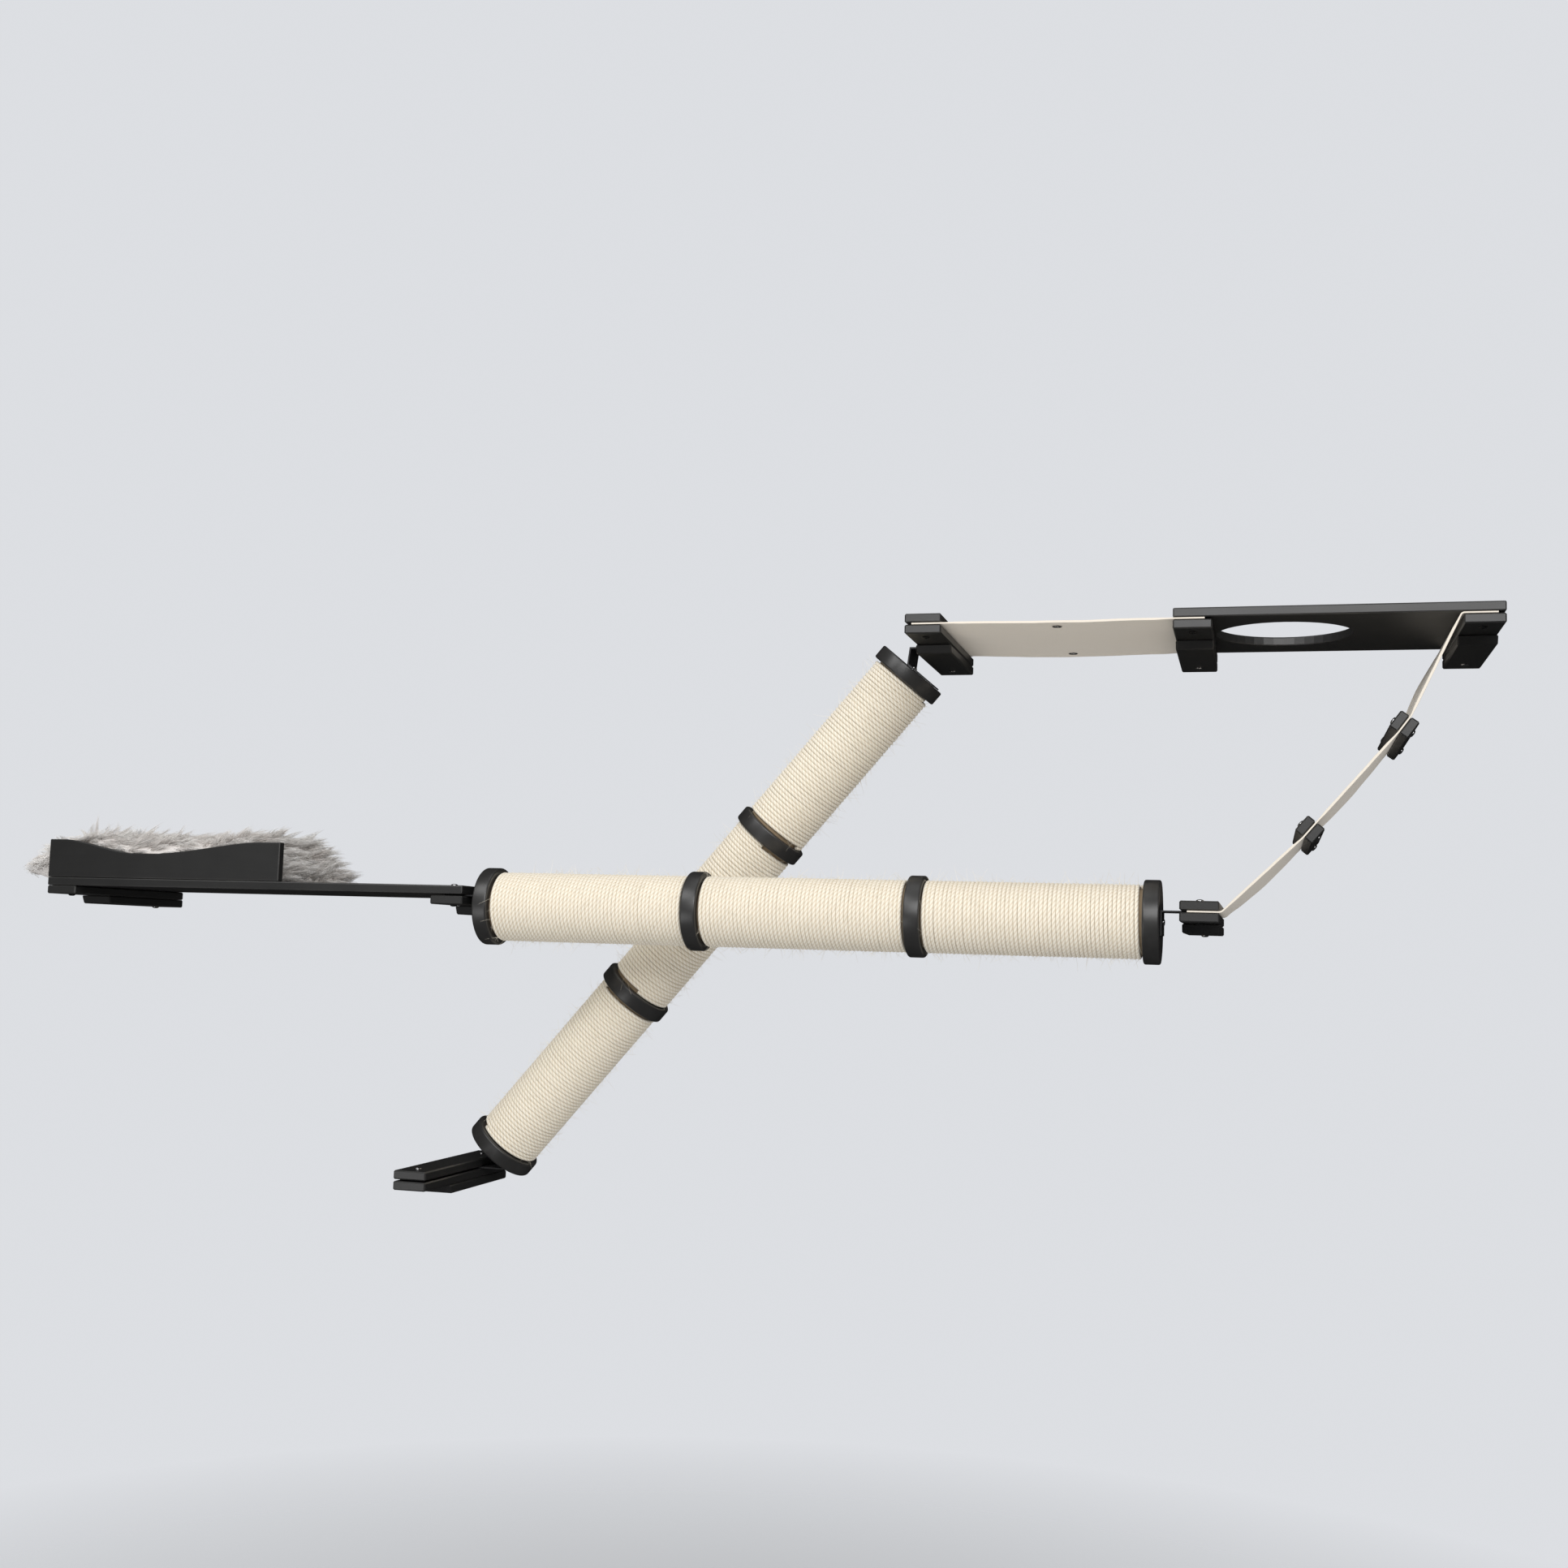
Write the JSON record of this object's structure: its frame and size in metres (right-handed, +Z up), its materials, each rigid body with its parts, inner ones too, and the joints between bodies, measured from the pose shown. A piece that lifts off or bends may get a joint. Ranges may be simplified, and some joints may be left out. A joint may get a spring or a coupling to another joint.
{
  "type": "wall-mounted cat tree",
  "caption": "Wall-hung climbing set: bed shelf, hammock, hatch shelf, cloth ladder and two rope-wound scratching posts on wooden wall brackets.",
  "frame": {"origin": "middle of the rear face of the middle bracket's arm, on the wall", "axes": "+X along the wall to the right as seen from the room, +Y into the wall, +Z up"},
  "size_m": [2.4367, 0.3285, 0.9494],
  "materials": {
    "black_wood": "satin black paint",
    "black_discs": "satin black paint",
    "black_steel": "black coat",
    "chrome_metal": "polished",
    "cream_canvas": "plain weave",
    "sisal_rope": "twisted rope",
    "core_board": "bare board",
    "long_fur": "long soft pile"
  },
  "bodies": {
    "wall_frame": {"arm_bed_outer": "black_wood", "block_bed_outer": "black_wood", "arm_bed_inner": "black_wood", "block_bed_inner": "black_wood", "arm_hammock": "black_wood", "block_hammock": "black_wood", "arm_middle": "black_wood", "block_middle": "black_wood", "arm_hatch": "black_wood", "block_hatch": "black_wood", "arm_ladder_foot": "black_wood", "block_ladder_foot": "black_wood", "arm_post_foot": "black_wood", "block_post_foot": "black_wood", "strip_hammock": "black_wood", "strip_bolt_hammock": "chrome_metal", "strip_ladder_foot": "black_wood", "strip_bolt_ladder_foot": "chrome_metal", "strip_post_foot": "black_wood", "strip_bolt_post_foot": "chrome_metal", "bed_plank": "black_wood", "bed_front_board": "black_wood", "fur_mat": "long_fur", "hatch_shelf": "black_wood", "hammock_cloth": "cream_canvas", "hammock_eyelet_front": "chrome_metal", "hammock_eyelet_rear": "chrome_metal", "ladder_cloth_head": "cream_canvas", "ladder_cloth_foot": "cream_canvas", "front_post_core": "core_board", "front_post_winding_left": "sisal_rope", "front_post_winding_centre": "sisal_rope", "front_post_winding_right": "sisal_rope", "front_post_ring_left": "black_discs", "front_post_ring_centre": "black_discs", "front_post_cap_low": "black_discs", "front_post_cap_high": "black_discs", "rear_post_core": "core_board", "rear_post_winding_lower": "sisal_rope", "rear_post_winding_centre": "sisal_rope", "rear_post_winding_upper": "sisal_rope", "rear_post_ring_lower": "black_discs", "rear_post_ring_centre": "black_discs", "rear_post_cap_low": "black_discs", "rear_post_cap_high": "black_discs", "plate_bed_inner": "black_steel", "plate_ladder_foot": "black_steel", "plate_post_foot": "black_steel", "plate_hammock": "black_steel"},
    "upper_cloth": {"ladder_cloth_upper": "cream_canvas"},
    "rung_panel": {"ladder_cloth_middle": "cream_canvas", "rung_upper_top": "black_wood", "rung_upper_bottom": "black_wood", "rung_upper_bolt_front": "chrome_metal", "rung_upper_bolt_rear": "chrome_metal", "rung_lower_top": "black_wood", "rung_lower_bottom": "black_wood", "rung_lower_bolt_front": "chrome_metal", "rung_lower_bolt_rear": "chrome_metal"},
    "lower_cloth": {"ladder_cloth_lower": "cream_canvas"}
  },
  "joints": [
    {"name": "head_bend", "type": "hinge", "parent": "wall_frame", "child": "upper_cloth", "pos_m": [0.3753, 0, 0.00865], "axis": [0, 1, 0], "range_deg": [-1.5, 1.5]},
    {"name": "rung_bend", "type": "hinge", "parent": "upper_cloth", "child": "rung_panel", "pos_m": [0.30599, 0, -0.13998], "axis": [0, 1, 0], "range_deg": [-4, 4], "stiffness_Nm_per_rad": 30},
    {"name": "foot_bend", "type": "hinge", "parent": "rung_panel", "child": "lower_cloth", "pos_m": [0.15811, 0, -0.31616], "axis": [0, 1, 0], "range_deg": [-6, 6]}
  ],
  "couplings": [
    {"joint": "head_bend", "follows": "rung_bend", "ratio": -0.28935},
    {"joint": "foot_bend", "follows": "rung_bend", "ratio": -1.4566}
  ]
}
